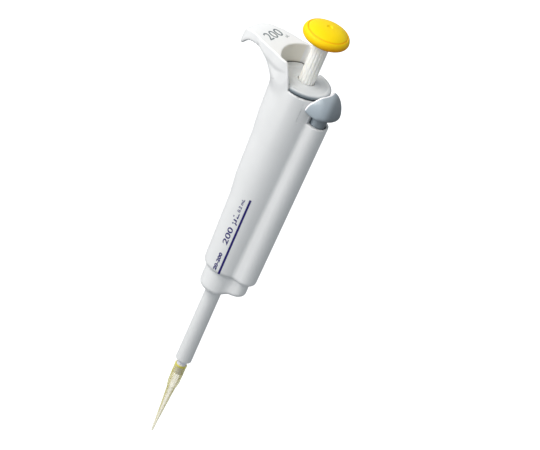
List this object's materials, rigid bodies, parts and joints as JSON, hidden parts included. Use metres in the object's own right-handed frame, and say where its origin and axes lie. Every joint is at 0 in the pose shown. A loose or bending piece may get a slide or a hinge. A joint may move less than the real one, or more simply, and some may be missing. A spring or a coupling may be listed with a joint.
{
  "type": "single-channel pipette",
  "caption": "Adjustable air-displacement hand pipette with a finger hook, a push button that sets the volume, a tip ejector with a thumb pad, and a fitted tip.",
  "frame": {"origin": "centre of the annular end of the tip, where liquid leaves it, on the plunger's axis", "axes": "+Z along the plunger's axis towards the push button, +X towards the tip ejector's pad, -X towards the finger hook, +Y towards the volume window"},
  "size_m": [0.0765, 0.0336, 0.2995],
  "materials": {
    "body_white": "fine matte moulding",
    "cap_grey": "satin",
    "pad_grey": "satin",
    "button_yellow": "satin gloss",
    "stem_ivory": "satin",
    "shaft_white": "satin gloss",
    "tip_yellow": "translucent",
    "clear_window": "clear",
    "inner_grey": "matte",
    "drum_black": "matte",
    "seal_white": "waxy",
    "rubber": "matte",
    "steel": "ground"
  },
  "bodies": {
    "root": {"handle_shell": "body_white", "front_cover": "body_white", "counter_window": "clear_window", "top_cap": "cap_grey", "nozzle_shaft": "shaft_white", "shaft_nut": "steel", "piston_seal": "seal_white", "seal_o_ring": "rubber", "seal_retainer": "inner_grey", "spring_seat": "inner_grey", "blowout_spring": "steel", "counter_base": "inner_grey", "counter_post_1": "steel", "counter_post_2": "steel", "counter_post_3": "steel", "counter_plate": "inner_grey", "ejector_guide": "inner_grey", "ejector_spring": "steel"},
    "blowout": {"blowout_washer": "steel", "piston_spring": "steel"},
    "plunger": {"piston": "steel", "stop_collar": "steel", "piston_head": "inner_grey"},
    "knob": {"plunger_stem": "stem_ivory", "push_button": "button_yellow"},
    "counter_ones": {"drive_sleeve": "inner_grey", "ones_drum": "drum_black"},
    "counter_tens": {"tens_drum": "drum_black"},
    "counter_hundreds": {"hundreds_drum": "drum_black"},
    "ejector": {"ejector_button": "pad_grey", "ejector_rod": "steel", "rod_clip": "inner_grey", "ejector_collar": "body_white", "ejector_sleeve": "body_white"},
    "tip": {"tip": "tip_yellow"}
  },
  "joints": [
    {"name": "blowout_press", "type": "slide", "parent": "root", "child": "blowout", "axis": [0, 0, -1], "range_m": [0, 0.003], "stiffness_N_per_m": 2000, "springref_m": -0.003, "deforming": ["blowout_spring"]},
    {"name": "plunger_press", "type": "slide", "parent": "blowout", "child": "plunger", "axis": [0, 0, -1], "range_m": [0, 0.016], "stiffness_N_per_m": 180, "springref_m": -0.006, "deforming": ["piston_spring"]},
    {"name": "volume_turn", "type": "hinge", "parent": "plunger", "child": "knob", "pos_m": [0, 0, 0.29], "axis": [0, 0, 1], "range_deg": [-6480, 0]},
    {"name": "counter_ones_turn", "type": "hinge", "parent": "root", "child": "counter_ones", "pos_m": [0, 0, 0.232], "axis": [0, 0, 1], "range_deg": [-6480, 0]},
    {"name": "counter_tens_turn", "type": "hinge", "parent": "root", "child": "counter_tens", "pos_m": [0, 0, 0.239], "axis": [0, 0, 1], "range_deg": [-648, 0]},
    {"name": "counter_hundreds_turn", "type": "hinge", "parent": "root", "child": "counter_hundreds", "pos_m": [0, 0, 0.246], "axis": [0, 0, 1], "range_deg": [-64.8, 0]},
    {"name": "ejector_press", "type": "slide", "parent": "root", "child": "ejector", "axis": [0, 0, -1], "range_m": [0, 0.006], "stiffness_N_per_m": 300, "springref_m": -0.005, "deforming": ["ejector_spring"]},
    {"name": "tip_release", "type": "slide", "parent": "root", "child": "tip", "axis": [0, 0, -1], "range_m": [0, 0.009]}
  ],
  "couplings": [
    {"joint": "counter_ones_turn", "follows": "volume_turn", "ratio": 1},
    {"joint": "counter_tens_turn", "follows": "volume_turn", "ratio": 0.1},
    {"joint": "counter_hundreds_turn", "follows": "volume_turn", "ratio": 0.01},
    {"joint": "tip_release", "follows": "ejector_press", "ratio": 1.5}
  ]
}
